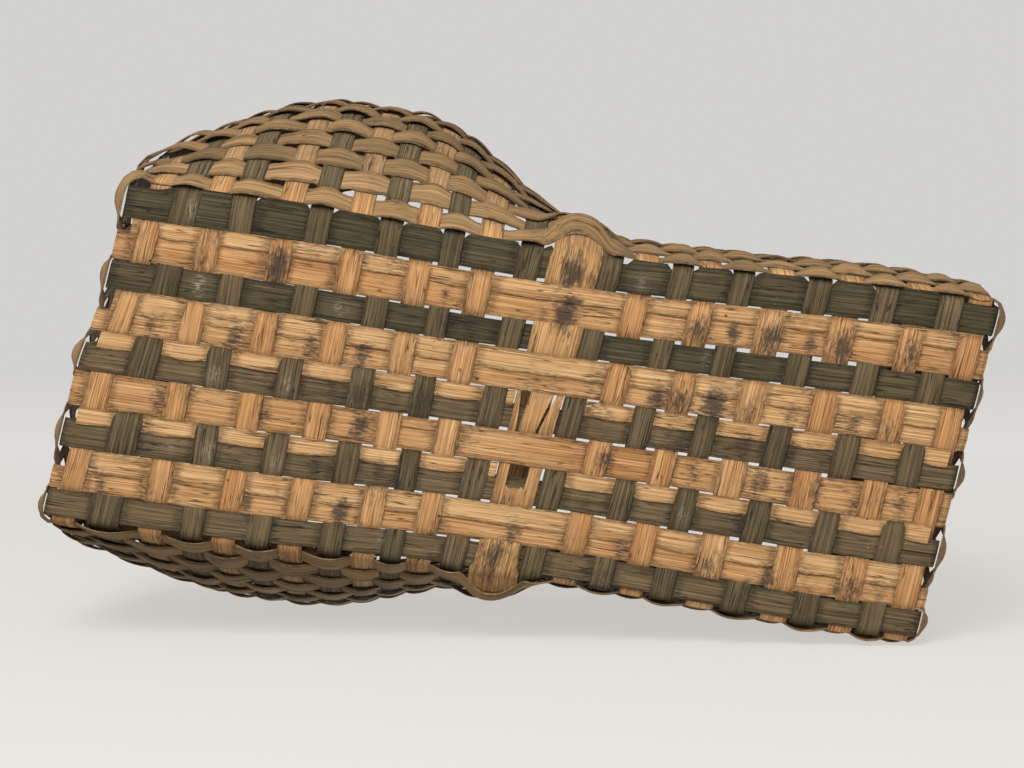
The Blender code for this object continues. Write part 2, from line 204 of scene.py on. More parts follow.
def settle(x, y, z):
    """Move a point of the straight loom to its place in the settled basket."""
    side = -1 if y < 0 else 1
    share = x / base_length + 0.5
    climb = climbed(z)
    along = min(abs(x) / wall_x, 1.0)
    across = min(abs(y) / wall_y, 1.0)
    rounding = CORNER_ROUNDING_SHARE * climb
    pinch = math.sin(math.pi * smooth(*PINCH_SHARES, share)) * PINCH_DEPTH
    out = y * math.sqrt(1 - rounding * along ** 2 / 2) * (1 - pinch / wall_y)
    out += side * across ** 2 * belly(share, side, z)
    sunk = max(climb - SINK_FROM_SHARE, 0.0) / (1 - SINK_FROM_SHARE)
    lean = (END_LEAN * climb + END_SINK * sunk ** 2) * smooth(0.0, LEAN_SPAN_SHARE, along)
    length = x * math.sqrt(1 - rounding * across ** 2 / 2) - math.copysign(lean, x)
    pull = CORNER_PULL * (1 - climb) * smooth(*PULL_ACROSS_SHARES, -y / wall_y)
    length += pull * smooth(*PULL_ALONG_SHARES, -x / wall_x)
    return length - SKEW_SHARE * y, out, z


def climb_from(distance, half):
    """Where an upright is at a distance from the middle of the base: reach, level and its outward direction."""
    side = 1 if distance > 0 else -1
    past = abs(distance) - half
    if past <= 0:
        return distance, LEVEL, 0.0, -1.0
    turn = past / FOLD_RADIUS
    if turn < math.pi / 2:
        reach = side * (half + FOLD_RADIUS * math.sin(turn))
        return reach, LEVEL + FOLD_RADIUS * (1 - math.cos(turn)), side * math.sin(turn), -math.cos(turn)
    return side * (half + FOLD_RADIUS), LEVEL + FOLD_RADIUS + past - FOLD_RADIUS * math.pi / 2, side, 0.0


def distance_to(level, half):
    """Distance along an upright from the middle of the base up to a level of the wall."""
    return half + FOLD_RADIUS * math.pi / 2 + level - LEVEL - FOLD_RADIUS


def weaver_level(number):
    return WALL_START + (number - 1) * WEAVER_PITCH + WEAVER_WIDTH / 2


def row_middle(number):
    low, high = rows[number - 1]["splint"]
    return (low + high) / 2 - half_y


def stake_x(number, y):
    share = min(max(y / base_width + 0.5, 0.0), 1.0)
    far = far_places[number - 1] * base_length / far_length
    return near_places[number - 1] * (1 - share) + far * share - half_x


def outside_odd_rows(number):
    """True for the dark stakes and the handle, which lie outside the odd rows of the base."""
    return number % 2 == 0 or number == HANDLE_STAKE


SWAY_EASE = 0.2
TUCK_DEPTH = 0.5
TUCK_SHARES = (0.34, 0.66)
DRIFT_GAIN = 1.6
DRIFT_SEEDS = (7.31, 2.17)


def sway(place, crossings, ease=SWAY_EASE):
    """Offset of a splint between its crossings, a list of (place, offset), held flat at each one."""
    index = bisect_right(crossings, (place, math.inf))
    if index == 0:
        return crossings[0][1]
    if index == len(crossings):
        return crossings[-1][1]
    (start, low), (end, high) = crossings[index - 1], crossings[index]
    return low + (high - low) * smooth(ease, 1 - ease, (place - start) / (end - start))


def tucked(place, crossings):
    """How close a point is to where its splint dives under the one that crosses it, from about 0.5 to 1; the splint
    is painted darker there as painted shade.
    """
    index = bisect_right(crossings, (place, math.inf))
    if index == 0 or index == len(crossings):
        return 0.0
    (start, low), (end, high) = crossings[index - 1], crossings[index]
    if low == high:
        return 0.0
    share = (place - start) / (end - start)
    return 1 - TUCK_DEPTH * smooth(*TUCK_SHARES, share if low < high else 1 - share)


def drift(place, seed, scale):
    """A slow wander of a splint along its length, from -1 to 1 or so."""
    return noise.noise(Vector((place * scale, seed * DRIFT_SEEDS[0], seed * DRIFT_SEEDS[1]))) * DRIFT_GAIN


STAIN_REACH = 0.0075
STAIN_SHAPE = (0.8, 1.3)
STAIN_FADE = 4.0
STAIN_RAGGED = 0.9
STAIN_RAGS = 170
# Dark smudges that years of use left on the base: row, stake (a half is between two), reach, strength
STAINS = (
    (1, 13.0, 1.1, 1.0), (2, 13.1, 1.2, 1.0), (2, 3.0, 0.8, 0.6), (2, 5.0, 1.1, 1.0), (2, 10.1, 0.6, 0.7),
    (2, 17.1, 1.0, 0.8), (2, 18.1, 0.7, 0.9), (2, 19.1, 1.0, 0.9), (2, 20.2, 0.7, 0.8), (2, 21.1, 1.1, 0.9),
    (2, 23.1, 0.9, 0.8), (3, 10.4, 1.2, 0.7), (3, 11.0, 1.0, 0.7), (4, 1.9, 0.8, 0.7), (4, 4.3, 0.9, 0.8),
    (4, 6.4, 0.9, 0.7), (4, 7.9, 0.9, 0.8), (4, 13.1, 0.9, 0.5), (4, 16.3, 0.9, 0.9), (4, 17.0, 1.0, 0.8),
    (4, 18.1, 1.2, 1.0), (4, 19.0, 0.8, 0.6), (4, 20.2, 0.9, 0.6), (4, 23.0, 0.8, 0.6), (5, 7.3, 0.8, 0.7),
    (5, 8.0, 0.8, 0.9), (5, 10.0, 0.9, 0.8), (5, 17.0, 0.9, 0.6), (5, 19.1, 0.9, 0.7), (5, 21.4, 0.8, 0.7),
    (6, 8.2, 0.9, 1.0), (6, 19.8, 1.0, 0.85), (6, 15.2, 0.9, 0.75), (7, 7.2, 0.7, 0.8), (7, 9.0, 0.7, 0.8),
    (7, 15.0, 0.7, 0.5), (8, 1.7, 0.8, 0.7), (8, 2.8, 0.7, 0.5), (8, 5.5, 0.7, 0.7), (8, 8.1, 1.0, 0.9),
    (8, 13.2, 1.0, 0.7), (8, 19.0, 0.9, 0.7), (9, 16.0, 1.0, 0.5), (6, 24.0, 0.9, 0.7), (8, 23.0, 1.0, 0.7),
    (4, 22.0, 0.8, 0.7), (5, 17.4, 0.9, 0.8), (5, 20.4, 0.8, 0.8), (6, 18.0, 0.9, 0.6), (6, 21.4, 0.9, 0.7),
    (9, 12.9, 1.3, 0.8), (8, 16.4, 0.8, 0.7), (8, 20.6, 1.0, 0.7), (6, 5.5, 0.8, 0.7), (6, 2.6, 0.9, 0.6),
    (7, 19.5, 0.9, 0.7),
)
# Pale scuffs on the dyed splints, in the same terms
SCUFFS = (
    (3, 3.0, 0.45, 1.0), (3, 7.0, 0.40, 0.6), (5, 4.0, 0.40, 0.7), (5, 6.0, 0.40, 0.6), (7, 3.1, 0.35, 0.6),
    (7, 4.1, 0.45, 0.6), (7, 6.1, 0.40, 0.5), (1, 2.3, 0.50, 0.6), (1, 15.0, 0.5, 0.4), (3, 17.5, 0.4, 0.4),
    (7, 18.0, 0.4, 0.4), (9, 5.6, 0.35, 0.5), (9, 9.5, 0.3, 0.5),
)


def placed(marks):
    """Marks given by row and stake as (x, y, reach, strength) on the loom."""
    found = []
    for row_number, stake_number, reach, strength in marks:
        before = int(stake_number)
        y = row_middle(row_number)
        x = stake_x(before, y)
        x += (stake_x(min(before + 1, STAKE_COUNT), y) - x) * (stake_number - before)
        found.append((x, y, reach * STAIN_REACH, strength))
    return found


stains, scuffs = placed(STAINS), placed(SCUFFS)


def stain_at(x, y, z, marks):
    """Strength of the marks at a point of the loom. They are longer across the basket than along it."""
    if z > WALL_START:
        return 0.0
    found = 0.0
    ragged = 1 + STAIN_RAGGED * noise.noise(Vector((x, y, 0)) * STAIN_RAGS)
    long, wide = STAIN_SHAPE
    for stain_x, stain_y, reach, strength in marks:
        near = ragged * (((x - stain_x) / (long * reach)) ** 2 + ((y - stain_y) / (wide * reach)) ** 2)
        if near < STAIN_FADE:
            found = max(found, strength * math.exp(-near))
    return found


def new_group(name, vectors, numbers, outputs):
    """A shader node group with named sockets. Its inputs are vectors and then numbers, its outputs numbers."""
    group = bpy.data.node_groups.new(name, "ShaderNodeTree")
    for title in vectors:
        group.interface.new_socket(name=title, in_out="INPUT", socket_type="NodeSocketVector")
    for title in numbers:
        socket = group.interface.new_socket(name=title, in_out="INPUT", socket_type="NodeSocketFloat")
        socket.default_value = 0.0
    for title in outputs:
        group.interface.new_socket(name=title, in_out="OUTPUT", socket_type="NodeSocketFloat")
    return group, group.nodes.new("NodeGroupInput"), group.nodes.new("NodeGroupOutput")


def fed(tree, kind, sockets):
    """A new shader node. Each of its named sockets is linked to another socket, or set to a number or colour."""
    node = tree.nodes.new(f"ShaderNode{kind}")
    feed(tree, node, sockets)
    return node


def feed(tree, node, sockets):
    """Link or set named sockets of a node."""
    for title, value in sockets.items():
        socket = node.inputs[title]
        if isinstance(value, bpy.types.NodeSocket):
            tree.links.new(value, socket)
        elif value is not None:
            socket.default_value = (*value, 1.0) if socket.type == "RGBA" else value


def math_node(tree, operation, first, second=None, clamp=False):
    """A Math node. Each operand is a socket or a number."""
    node = fed(tree, "Math", {0: first, 1: second})
    node.operation = operation
    node.use_clamp = clamp
    return node.outputs[0]


def times(tree, first, second):
    return math_node(tree, "MULTIPLY", first, second)


def ranged(tree, value, low, high, to_low=0.0, to_high=1.0):
    """A Map Range node with a smooth step."""
    limits = {"From Min": low, "From Max": high, "To Min": to_low, "To Max": to_high}
    node = fed(tree, "MapRange", {"Value": value, **limits})
    node.interpolation_type = "SMOOTHSTEP"
    return node.outputs["Result"]


def blended(tree, factor, first, second, kind="MIX"):
    """A colour Mix node. Each colour is a socket or a colour."""
    node = tree.nodes.new("ShaderNodeMix")
    node.data_type = "RGBA"
    node.blend_type = kind
    feed(tree, node, {"Factor": factor, "A": first, "B": second})
    return [socket for socket in node.outputs if socket.type == "RGBA"][0]


def streaks(tree, vector, along, across, detail=2.0, roughness=0.5):
    """Noise drawn out along a splint. The two scales are repeats for each 100 mm of it."""
    stretched = fed(tree, "Mapping", {"Scale": (along, across, 1.0), "Vector": vector}).outputs["Vector"]
    pattern = {"Scale": 1.0, "Detail": detail, "Roughness": roughness, "Vector": stretched}
    return fed(tree, "TexNoise", pattern).outputs["Fac"]


grain, grain_in, grain_out = new_group(
    "split grain", ("Along splint",), (), ("Fibre", "Band", "Crack", "Height"),
)
run = grain_in.outputs["Along splint"]
fibre = ranged(grain, streaks(grain, run, 2.2, 185.0, 2.0, 0.6), 0.34, 0.66)
strand = ranged(grain, streaks(grain, run, 1.3, 84.0, 2.0, 0.55), 0.35, 0.64)
fibre = math_node(grain, "ADD", times(grain, fibre, 0.5), times(grain, strand, 0.5))
band = ranged(grain, streaks(grain, run, 1.6, 34.0, 2.0), 0.32, 0.68)
ridge = math_node(grain, "ABSOLUTE", math_node(grain, "SUBTRACT", streaks(grain, run, 2.2, 46.0, 1.0), 0.5))
seam = ranged(grain, ridge, 0.0, 0.024, 1.0, 0.0)
broken = ranged(grain, streaks(grain, run, 4.0, 22.0, 1.0), 0.46, 0.58)
crack = times(grain, seam, broken)
coarse = times(grain, band, 0.35)
height = math_node(grain, "ADD", times(grain, fibre, 0.65), coarse)
height = math_node(grain, "SUBTRACT", height, crack)
feed(grain, grain_out, {"Fibre": fibre, "Band": band, "Crack": crack, "Height": height})

soiling, soiling_in, soiling_out = new_group(
    "smudges and holes", ("Along splint", "Place"), ("Smudge", "Scuff", "Edge"), ("Soot", "Hole", "Fleck", "Grime_and_shade"),
)
run = soiling_in.outputs["Along splint"]
mottle = streaks(soiling, run, 26.0, 90.0, 3.0, 0.7)
soaked = times(soiling, soiling_in.outputs["Smudge"], 0.95)
soaked = math_node(soiling, "ADD", soaked, times(soiling, mottle, 1.7))
soot = ranged(soiling, soaked, 1.02, 1.70)
where = soiling_in.outputs["Place"]
cloud = fed(soiling, "TexNoise", {"Scale": 38.0, "Detail": 4.0, "Vector": where}).outputs["Fac"]
dirty = ranged(soiling, cloud, 0.50, 0.72)
dirty = times(soiling, dirty, ranged(soiling, mottle, 0.38, 0.60, 0.0, 0.75))
soot = math_node(soiling, "MAXIMUM", soot, dirty)
cells = fed(soiling, "TexVoronoi", {"Scale": 95.0, "Vector": where})
chosen = fed(soiling, "SeparateColor", {"Color": cells.outputs["Color"]})
dot = ranged(soiling, cells.outputs["Distance"], 0.055, 0.10, 1.0, 0.0)
hole = times(soiling, dot, math_node(soiling, "GREATER_THAN", chosen.outputs["Red"], 0.86))
scratch = ranged(soiling, streaks(soiling, run, 44.0, 160.0, 1.0), 0.735, 0.77)
patch = ranged(soiling, cloud, 0.42, 0.30)
rubbed = times(soiling, soiling_in.outputs["Scuff"], ranged(soiling, mottle, 0.44, 0.62))
fleck = math_node(soiling, "MAXIMUM", times(soiling, scratch, patch), rubbed)
# Edges darkened partly by dirt and partly by painted shade, and painted shade where a splint dives under a crossing
# one.
grime_and_shade = ranged(soiling, soiling_in.outputs["Edge"], 0.55, 1.0)
grime_and_shade = times(soiling, grime_and_shade, ranged(soiling, mottle, 0.35, 0.60, 0.35, 1.0))
feed(soiling, soiling_out, {"Soot": soot, "Hole": hole, "Fleck": fleck, "Grime_and_shade": grime_and_shade})


SPLINT_SPECULAR = 0.15
BAND_IN_TONE = 0.35
GRAIN_BUMP = 0.7
GRAIN_DEPTH = 0.0004
paints = {}


def splint_paint(name, cool, warm, worn, fibre_dark, crack_and_shade_colour, soot_colour, fleck_colour, depths, roughness):
    """Dry split wood. Its tone runs from cool to warm by each splint's own attribute, and to worn up the walls, with
    fibres, cracks, smudges, worm holes, pale flecks, and edges darkened partly by grime and partly by painted shade,
    as deep as depths says."""
    paint = bpy.data.materials.new(name)
    paint.use_nodes = True
    tree = paint.node_tree
    run = fed(tree, "UVMap", {})
    run.uv_map = "run"
    own = {}
    for title in ("tone", "edge", "smudge", "scuff", "wear"):
        node = fed(tree, "Attribute", {})
        node.attribute_name = title
        own[title] = node.outputs["Fac"]
    fibres, marks = fed(tree, "Group", {}), fed(tree, "Group", {})
    fibres.node_tree, marks.node_tree = grain, soiling
    feed(tree, fibres, {"Along splint": run.outputs["UV"]})
    feed(tree, marks, {
        "Along splint": run.outputs["UV"], "Place": fed(tree, "TexCoord", {}).outputs["Object"],
        "Smudge": own["smudge"], "Scuff": own["scuff"], "Edge": own["edge"],
    })
    tone = math_node(tree, "ADD", own["tone"], times(tree, fibres.outputs["Band"], BAND_IN_TONE), True)
    colour = blended(tree, tone, cool, warm)
    colour = blended(tree, times(tree, own["wear"], depths["wear"]), colour, worn)
    lines = times(tree, fibres.outputs["Fibre"], depths["fibre"])
    colour = blended(tree, lines, colour, fibre_dark, "MULTIPLY")
    # Grime_and_shade is partly edge dirt and partly painted shade along the edges and under the crossings.
    for output, shade in (
        ("Grime_and_shade", crack_and_shade_colour), ("Crack", crack_and_shade_colour), ("Soot", soot_colour),
        ("Fleck", fleck_colour), ("Hole", crack_and_shade_colour),
    ):
        source = (fibres if output == "Crack" else marks).outputs[output]
        colour = blended(tree, times(tree, source, depths[output.lower()]), colour, shade)
    bump = fed(tree, "Bump", {"Strength": GRAIN_BUMP, "Distance": GRAIN_DEPTH, "Height": fibres.outputs["Height"]})
    feed(tree, tree.nodes["Principled BSDF"], {
        "Base Color": colour, "Roughness": roughness, "Specular IOR Level": SPLINT_SPECULAR,
        "Normal": bump.outputs["Normal"],
    })
    paints[name] = paint


splint_paint(
    "natural_splint", (0.77, 0.505, 0.245), (0.62, 0.330, 0.135), (0.45, 0.305, 0.160), (0.44, 0.32, 0.22),
    (0.060, 0.030, 0.014), (0.034, 0.030, 0.026), (0.82, 0.68, 0.48),
    {"fibre": 0.95, "wear": 0.78, "grime_and_shade": 0.66, "crack": 0.85, "soot": 0.88, "fleck": 0.25, "hole": 0.9}, 0.78,
)
splint_paint(
    "dyed_splint", (0.096, 0.080, 0.042), (0.228, 0.158, 0.083), (0.220, 0.165, 0.092), (0.27, 0.25, 0.21),
    (0.012, 0.010, 0.007), (0.018, 0.015, 0.012), (0.58, 0.50, 0.37),
    {"fibre": 0.95, "wear": 0.50, "grime_and_shade": 0.60, "crack": 0.88, "soot": 0.62, "fleck": 0.72, "hole": 0.5}, 0.80,
)

ACROSS = 4
STATION_STEP = 0.0024
CUP = 0.00022
EDGE_CHAMFER = 0.00022
CHAMFER_ANGLE = math.radians(55)
SMOOTH_ANGLE = math.radians(40)
WELD = 0.00002
RUN_SCALE = 10
RUN_SEED = 3.7
GRAIN_SEED = 1.9
WEAR_RISE = (0.003, 0.022)


def lay_splint(node, slot, stations, place, tone, seed, thickness=SPLINT, across=ACROSS, closed=False, missing=None):
    """Lay one splint: a flat grid whose every point is moved to where the splint runs, then given its
    thickness and softened edges. place(distance, share) gives a point of the loom, the place of its grain
    and how far it dives under another splint, tone(distance) the shade of the wood there, and
    missing(distance, share) says where it is broken out."""
    bpy.ops.object.select_all(action="DESELECT")
    bpy.ops.mesh.primitive_grid_add(x_subdivisions=len(stations) - 1, y_subdivisions=across, size=1)
    piece = bpy.context.object
    mesh = piece.data
    piece.name = mesh.name = f"woven_{node}"
    count = len(stations) - 1
    if missing:
        bpy.ops.object.mode_set(mode="EDIT")
        bpy.ops.mesh.select_mode(type="FACE")
        bpy.ops.mesh.select_all(action="DESELECT")
        bpy.ops.object.mode_set(mode="OBJECT")
        for face in mesh.polygons:
            face.select = missing(stations[int((face.center.x + 0.5) * count)], face.center.y * 2)
        bpy.ops.object.mode_set(mode="EDIT")
        bpy.ops.mesh.delete(type="FACE")
        bpy.ops.mesh.select_mode(type="VERT")
        bpy.ops.object.mode_set(mode="OBJECT")
    points = []
    marks = {"tone": [], "edge": [], "smudge": [], "scuff": [], "wear": []}
    runs = []
    for vertex in mesh.vertices:
        distance = stations[round((vertex.co.x + 0.5) * count)]
        share = round((vertex.co.y + 0.5) * across) / across * 2 - 1
        loom = place(distance, share)
        points.extend(settle(*loom[:3]))
        runs.append((distance * RUN_SCALE + seed * RUN_SEED, loom[3]))
        marks["tone"].append(tone(distance))
        # The edge mark covers the splint's edges and, where it dives under a crossing splint, painted shade.
        marks["edge"].append(max(abs(share), loom[4] if len(loom) > 4 else 0.0))
        marks["wear"].append(smooth(*WEAR_RISE, loom[2]))
        marks["smudge"].append(stain_at(*loom[:3], stains))
        marks["scuff"].append(stain_at(*loom[:3], scuffs))
    mesh.vertices.foreach_set("co", points)
    layer = mesh.uv_layers[0]
    layer.name = "run"
    for loop in mesh.loops:
        layer.data[loop.index].uv = runs[loop.vertex_index]
    for title, values in marks.items():
        mesh.attributes.new(title, "FLOAT", "POINT").data.foreach_set("value", values)
    mesh.update()
    finish_splint(piece, node, slot, thickness, closed)


def finish_splint(piece, node, slot, thickness, closed):
    """Give a laid splint its thickness, chamfers, material and place in the part."""
    bpy.ops.object.mode_set(mode="EDIT")
    bpy.ops.mesh.select_all(action="SELECT")
    if closed:
        bpy.ops.mesh.remove_doubles(threshold=WELD)
    bpy.ops.mesh.normals_make_consistent(inside=False)
    bpy.ops.object.mode_set(mode="OBJECT")
    wall = piece.modifiers.new("thickness", "SOLIDIFY")
    wall.thickness = thickness
    wall.offset = 0.0
    edges = piece.modifiers.new("edges", "BEVEL")
    edges.width = EDGE_CHAMFER
    edges.segments = 1
    edges.angle_limit = CHAMFER_ANGLE
    for modifier in ("thickness", "edges"):
        bpy.ops.object.modifier_apply(modifier=modifier)
    bpy.ops.object.shade_smooth_by_angle(angle=SMOOTH_ANGLE)
    piece.data.materials.clear()
    piece.data.materials.append(paints[slot])
    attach(piece, "root")
    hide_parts(node)


def steps_between(low, high):
    count = max(1, round((high - low) / STATION_STEP))
    return [low + (high - low) * step / count for step in range(count + 1)]


ROW_SWAY = 0.00045
WALL_SWAY = 0.00035
end_reach = distance_to(UPRIGHT_TOP, half_x)
end_levels = [distance_to(weaver_level(number), half_x) for number in range(1, WEAVER_COUNT + 1)]


def row_crossings(number):
    """Offsets of a base row: inside or outside each stake in turn, and then each weaver of both end walls."""
    found = []
    for stake_number in range(1, STAKE_COUNT + 1):
        outside = outside_odd_rows(stake_number) != (number % 2 == 1)
        found.append((stake_x(stake_number, row_middle(number)), ROW_SWAY if outside else -ROW_SWAY))
    for weaver_number, reach in enumerate(end_levels, start=1):
        weaver_outside = (number % 2 == 1) == (weaver_number % 2 == 1)
        offset = -WALL_SWAY if weaver_outside else WALL_SWAY
        found += [(reach, offset), (-reach, offset)]
    return sorted(found)


# Gaps seen between the rows, in millimetres. The rows have crept together, most of all at the left.
SEEN_GAPS = (0.8, 1.5, 0.35, 0.6, 1.2, 0.35, 0.7, 0.6)
SEEN_AT_LEFT = 0.12
SEEN_FURTHER = 1.05
SEEN_LESS_AT_RIGHT = 0.5
SEEN_FROM_LEFT = (-0.14, -0.03)
SEEN_TO_RIGHT = (0.15, 0.20)
FIRST_CREEP = 0.0013
CREEP_FROM_LEFT = (-0.17, -0.08)
FIRST_EDGE = 0.0034
FIRST_EDGE_HELD = 0.1
FIRST_EDGE_FREE = (0.0050, 0.0080)
FIRST_EDGE_ENDS = (0.188, 0.204)
FILLER_LAP = 0.0008


def grown(number, before, x):
    """How far a row's edge has spread towards the row before or after it."""
    pair = number - 2 if before else number - 1
    if not 0 <= pair < len(SEEN_GAPS):
        if not before:
            return 0.0
        outside = [n for n in range(1, STAKE_COUNT + 1) if outside_odd_rows(n)]
        nearest = min(abs(x - stake_x(n, -half_y)) - stake_width(n) / 2 for n in outside) + STAKE_WIDTH / 2
        free = FIRST_EDGE_HELD + (1 - FIRST_EDGE_HELD) * smooth(*FIRST_EDGE_FREE, nearest)
        return FIRST_EDGE * free * (1 - smooth(*FIRST_EDGE_ENDS, abs(x)))
    gap = rows[pair + 1]["start"] - rows[pair]["end"]
    shown = SEEN_AT_LEFT + SEEN_FURTHER * smooth(*SEEN_FROM_LEFT, x) - SEEN_LESS_AT_RIGHT * smooth(*SEEN_TO_RIGHT, x)
    seen = SEEN_GAPS[pair] / 1000 * shown
    shift = FIRST_CREEP * smooth(*CREEP_FROM_LEFT, x) if pair == 0 else 0.0
    return max(gap - seen, 0.0) / 2 + (shift if before else -shift)


ROW_WANDER = {"breadth": 0.035, "side": 0.0004, "level": 0.00010}
HELD_LIFT = 0.3
RAGGED_LIFT = 0.5


def lay_row(node, slot, number, band, reach, lift, swell, tip_share, tone, seed, missing=None):
    """Lay one lengthwise splint or filler. Its width may swell between the stakes that hold it down."""
    crossings = row_crossings(number)
    middle = (band[0] + band[1]) / 2 - half_y
    width = band[1] - band[0]
    first = band[0] == rows[number - 1]["start"]
    last = band[1] == rows[number - 1]["end"]
    stake_centres = [(stake_x(n, middle), 1.0 if outside_odd_rows(n) != (number % 2 == 1) else 0.0)
                     for n in range(1, STAKE_COUNT + 1)]

    def place(distance, share):
        x, level, out_x, out_z = climb_from(distance, half_x)
        climb = climbed(level)
        breadth = width * (1 + (tip_share - 1) * climb) * (1 + ROW_WANDER["breadth"] * drift(distance, seed, 30))
        free = sway(distance, stake_centres) if abs(distance) < half_x else 0.0
        shift = ROW_WANDER["side"] * drift(distance, seed + 0.5, 14) * (1 - climb)
        offset = sway(distance, crossings) + lift * (HELD_LIFT + (1 - HELD_LIFT) * free)
        offset += ROW_WANDER["level"] * drift(distance, seed + 0.2, 60) - CUP * share * share
        across = middle + shift + share * breadth / 2 + (swell * free * (0.5 + share / 2))
        if climb == 0.0:
            across -= (grown(number, True, x) if first else FILLER_LAP) * (0.5 - share / 2)
            ragged = lift * RAGGED_LIFT * drift(distance, seed + 0.7, 75)
            across += ((grown(number, False, x) if last else FILLER_LAP) + ragged) * (0.5 + share / 2)
        under = tucked(distance, crossings)
        return x + out_x * offset, across, level + out_z * offset, across * RUN_SCALE + seed * GRAIN_SEED, under

    lay_splint(node, slot, steps_between(-reach, reach), place, tone, seed, missing=missing)


ROW_TONES = {1: 0.12, 2: 0.72, 3: 0.12, 4: 0.40, 5: 0.90, 6: 0.62, 7: 0.82, 8: 0.66, 9: 0.74}
for number, row in enumerate(rows, start=1):
    def row_tone(distance, number=number):
        return ROW_TONES[number] + 0.22 * drift(distance, number, 9) - 0.12

    lay_row(
        f"base_splint_{number}", "dyed_splint" if number % 2 == 1 else "natural_splint", number, row["splint"],
        end_reach, 0.0, 0.0, ROW_TIP_SHARE, row_tone, number,
    )

# Filler splints. Narrower pale strips laid beside rows 2, 4, 5, 7 and 8, which close the base where the
# main splints leave it open. Their free edge swells over its neighbour between the stakes that press it down.

FILLER_REACH_SHARE = 0.985
FILLER_LIFT = 0.0010
FILLER_SWELL = 0.0006
EVEN_FILLER_SWELL = 0.0003
BROKEN_REACH = 0.012
FILLER_TONES = {2: 0.12, 4: 0.0, 5: 0.12, 7: 0.10, 8: 0.10}


def behind_hoop(distance, share):
    """Where the fillers of rows 5 and 7 have broken away behind the cuts in the handle hoop."""
    return abs(distance - stake_x(HANDLE_STAKE, 0.02)) < BROKEN_REACH


for number, row in enumerate(rows, start=1):
    if row["filler"]:
        def filler_tone(distance, number=number):
            return FILLER_TONES[number] + 0.20 * drift(distance, number + 20, 12)

        lay_row(
            f"filler_splint_{number}", "natural_splint", number, row["filler"], half_x * FILLER_REACH_SHARE,
            FILLER_LIFT, FILLER_SWELL if number % 2 == 1 else EVEN_FILLER_SWELL, 1.0, filler_tone, number + 20,
            behind_hoop if number in (5, 7) else None,
        )

# Crosswise stakes. Twenty-four splints of the same stock cross under and over the rows of the base, turn up
# and stand in the long walls. Every second one is dyed, and the dye has worn paler where the walls rub.

STAKE_TIP_WIDTH = 0.0090
STAKE_SWAY = 0.00080
STAKE_WANDER = {"breadth": 0.03, "side": 0.0004, "level": 0.00008, "twist": 0.00010}
side_reach = distance_to(UPRIGHT_TOP, half_y)
side_levels = [distance_to(weaver_level(number), half_y) for number in range(1, WEAVER_COUNT + 1)]
STAKE_SHARE = 0.94
OWN_STAKE_SHARES = {2: 1.22, 10: 0.84, 14: 0.88, 16: 0.84, 18: 0.86, 19: 1.06, 21: 1.06}
STAKE_SHIFTS = {14: -0.0022}


def stake_crossings(number, base_sway=STAKE_SWAY, wall_sway=WALL_SWAY):
    found = []
    for row_number in range(1, len(rows) + 1):
        middle = (rows[row_number - 1]["start"] + rows[row_number - 1]["end"]) / 2 - half_y
        outside = outside_odd_rows(number) == (row_number % 2 == 1)
        found.append((middle, base_sway if outside else -base_sway))
    for weaver_number, reach in enumerate(side_levels, start=1):
        weaver_outside = outside_odd_rows(number) == (weaver_number % 2 == 1)
        offset = -wall_sway if weaver_outside else wall_sway
        found += [(reach, offset), (-reach, offset)]
    return sorted(found)


def stake_place(number, width, tip_width, crossings, seed, wander=1.0):
    """The run of a stake or the handle as a function of distance from the middle of the base."""

    def place(distance, share):
        y, level, out_y, out_z = climb_from(distance, half_y)
        climb = climbed(level)
        breadth = width + (tip_width - width) * climb
        breadth *= 1 + STAKE_WANDER["breadth"] * wander * drift(distance, seed, 26)
        offset = sway(distance, crossings) - CUP * share * share
        offset += STAKE_WANDER["level"] * drift(distance, seed + 0.3, 70)
        offset += STAKE_WANDER["twist"] * share * drift(distance, seed + 0.6, 18)
        across = share * breadth / 2 + STAKE_WANDER["side"] * wander * drift(distance, seed + 0.9, 16)
        x = stake_x(number, y) + across + STAKE_SHIFTS.get(number, 0.0) * (1 - climb)
        under = tucked(distance, crossings)
        return x, y + out_y * offset, level + out_z * offset, across * RUN_SCALE + seed * 2.3, under

    return place


for number in range(1, STAKE_COUNT + 1):
    if number == HANDLE_STAKE:
        continue
    is_dyed = outside_odd_rows(number)
    width = STAKE_WIDTH * OWN_STAKE_SHARES.get(number, STAKE_SHARE)
    place = stake_place(number, width, STAKE_TIP_WIDTH, stake_crossings(number), number + 40)
    base_tone = (0.45 if is_dyed else 0.62) + 0.20 * drift(number, 3, 0.37)

    def stake_tone(distance, base_tone=base_tone, number=number):
        return base_tone + 0.16 * drift(distance, number + 40, 8)

    lay_splint(
        f"stake_{number:02d}", "dyed_splint" if is_dyed else "natural_splint",
        steps_between(-side_reach, side_reach), place, stake_tone, number + 40,
    )

# Handle hoop. One broad, thicker strip of bent wood runs under the base as its centre stake, rises inside
# both long walls and arches over the mouth. Old cuts have split it into tines at row 5 and notched it at row 7.

